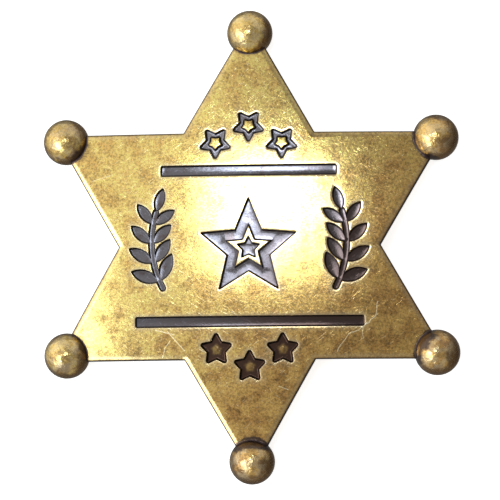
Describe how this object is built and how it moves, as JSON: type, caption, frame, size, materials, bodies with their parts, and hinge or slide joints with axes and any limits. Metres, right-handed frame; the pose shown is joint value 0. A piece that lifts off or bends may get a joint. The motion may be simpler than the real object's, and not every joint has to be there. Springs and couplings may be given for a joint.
{
  "type": "star badge",
  "caption": "Six-pointed star badge in antique brass with a ball at each point, a bowed face with dark sunken bars, small stars, a ringed star and leaf sprays, and a pin on the back.",
  "frame": {"origin": "middle of the badge's box at the level of the surface it lies on, which is the plane of the small flats under its six balls", "axes": "+Z out of the face, away from the surface; +Y to the star's top point; +X to the right of the face"},
  "size_m": [0.0562, 0.064, 0.0064],
  "materials": {
    "brass": "antique brass, rubbed bright on the face, dark patina in the sunken figures",
    "pin_metal": "dull plated metal"
  },
  "bodies": {
    "root": {"star_body": "brass", "pin_back": "pin_metal"}
  },
  "joints": []
}
